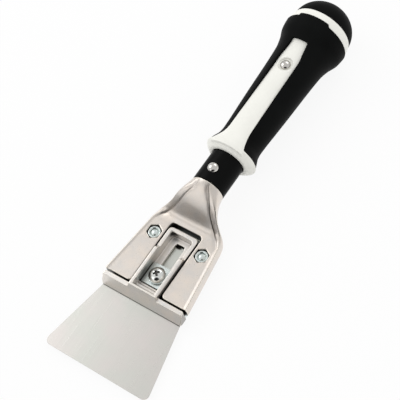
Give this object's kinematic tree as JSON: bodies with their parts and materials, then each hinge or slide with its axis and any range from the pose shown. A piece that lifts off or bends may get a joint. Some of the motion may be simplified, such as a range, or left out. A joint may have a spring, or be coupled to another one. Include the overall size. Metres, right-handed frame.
{
  "type": "flexible scraper",
  "caption": "Flexible scraper: trapezoid steel blade in a cast head, a sliding stiffener held by a clamp screw, and a black and white grip with a bulb end.",
  "frame": {"origin": "outer face of the back plate, midway between the two blade bolts", "axes": "+X towards the cutting edge, +Y to the right of the front face seen with the edge away, +Z out of the front face; the tool lies on its back plate and bulb"},
  "size_m": [0.2756, 0.0744, 0.0438],
  "materials": {
    "zinc_casting": "matte die-cast metal, warm silver",
    "zinc_plated_steel": "bright zinc plate",
    "spring_steel": "fine ground spring steel",
    "black_tube": "black coating, satin",
    "bright_rivet": "polished steel",
    "white_plastic": "smooth white moulding",
    "black_rubber": "soft matte black overmould"
  },
  "bodies": {
    "tool": {"head_casting": "zinc_casting", "back_plate": "zinc_plated_steel", "blade": "spring_steel", "blade_bolt_left": "zinc_plated_steel", "blade_bolt_right": "zinc_plated_steel", "blade_nut_left": "zinc_plated_steel", "blade_nut_right": "zinc_plated_steel", "neck_tube": "black_tube", "neck_rivet": "bright_rivet", "grip_rivet": "bright_rivet", "grip_core": "white_plastic", "grip_skin": "black_rubber", "end_cap": "black_rubber"},
    "stiffener": {"stiffener_slider": "zinc_casting"},
    "clamp_stack": {"clamp_plate": "zinc_plated_steel", "lock_washer": "zinc_plated_steel"},
    "screw": {"clamp_screw": "zinc_plated_steel"}
  },
  "joints": [
    {"name": "stiffener_slide", "type": "slide", "parent": "tool", "child": "stiffener", "axis": [1, 0, 0], "range_m": [0, 0.02]},
    {"name": "clamp_lift", "type": "slide", "parent": "tool", "child": "clamp_stack", "axis": [0, 0, 1], "range_m": [0, 0.001]},
    {"name": "clamp_turn", "type": "hinge", "parent": "clamp_stack", "child": "screw", "pos_m": [0.0225, 0, 0.009], "axis": [0, 0, 1], "range_deg": [0, 360]}
  ],
  "couplings": [
    {"joint": "clamp_turn", "follows": "clamp_lift", "rad_per_m": 6283.2}
  ]
}
